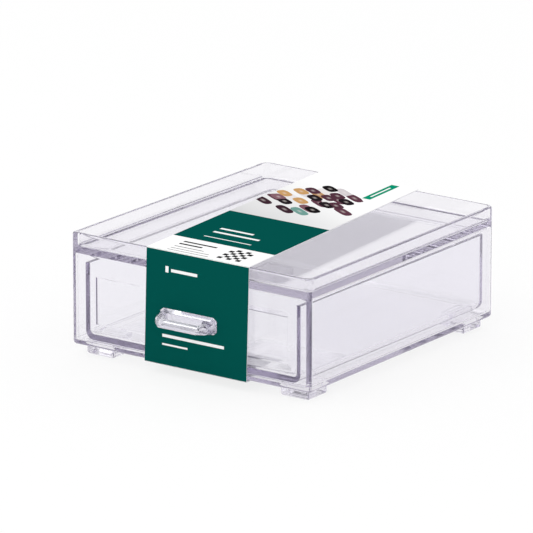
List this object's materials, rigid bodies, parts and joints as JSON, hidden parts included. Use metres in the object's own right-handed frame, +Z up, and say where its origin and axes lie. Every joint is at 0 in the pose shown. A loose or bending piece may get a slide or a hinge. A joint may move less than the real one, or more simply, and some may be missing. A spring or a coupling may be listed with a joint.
{
  "type": "drawer organizer tray",
  "caption": "Clear stackable box with a pull-out drawer, a dished front with a gem-cut pull, a raised rim, block feet and a printed card sleeve.",
  "frame": {"origin": "on the ground, under the middle of the whole object's box, pull and sleeve included", "axes": "+X to the right of someone facing the drawer's front, +Y from the front to the back, +Z up"},
  "size_m": [0.188, 0.224, 0.083],
  "materials": {
    "case_plastic": "clear polished",
    "drawer_plastic": "clear polished",
    "pull_plastic": "clear polished",
    "sleeve_card": "printed satin"
  },
  "bodies": {
    "case": {"outer_case": "case_plastic"},
    "drawer": {"drawer_tray": "drawer_plastic", "pull_handle": "pull_plastic"},
    "sleeve": {"card_sleeve": "sleeve_card"}
  },
  "joints": [
    {"name": "drawer_slide", "type": "slide", "parent": "case", "child": "drawer", "axis": [0, -1, 0], "range_m": [0, 0.165]},
    {"name": "sleeve_slide", "type": "slide", "parent": "drawer", "child": "sleeve", "axis": [0, -1, 0], "range_m": [0, 0.226]}
  ]
}
